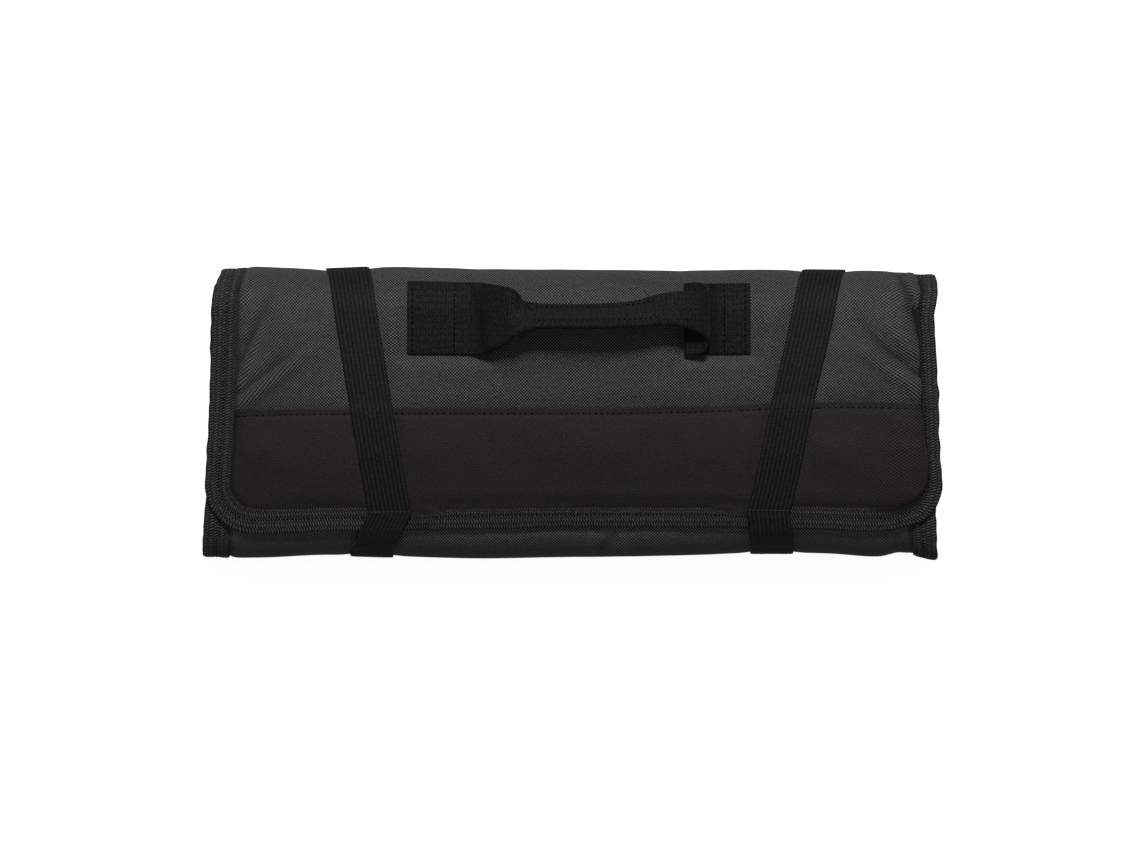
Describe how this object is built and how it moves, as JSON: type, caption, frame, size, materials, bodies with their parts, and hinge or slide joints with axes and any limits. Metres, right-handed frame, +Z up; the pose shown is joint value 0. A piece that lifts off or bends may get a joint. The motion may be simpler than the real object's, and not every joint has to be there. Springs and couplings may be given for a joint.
{
  "type": "tool bag",
  "caption": "Tool roll lying closed: padded cloth sheet rolled flat, bound edges, black flap band, two elastic straps and a webbing carry handle.",
  "frame": {"origin": "on the floor, under the middle of the bag as it lies on its back", "axes": "+X along the roll, +Y across it towards the carry handle, +Z up out of the face with the flap"},
  "size_m": [0.3942, 0.1564, 0.0722],
  "materials": {
    "charcoal_cloth": "matt woven polyester with a fine dotted weave",
    "black_cloth": "matt woven polyester with a fine twill",
    "binding_tape": "matt cross-ribbed tape",
    "elastic": "matt braided elastic, ribbed lengthwise",
    "webbing": "slightly glossy woven webbing"
  },
  "bodies": {
    "root": {"roll_sheet": "charcoal_cloth", "flap_band": "black_cloth", "edge_binding": "binding_tape", "elastic_strap_left": "elastic", "elastic_strap_right": "elastic", "carry_handle": "webbing"}
  },
  "joints": []
}
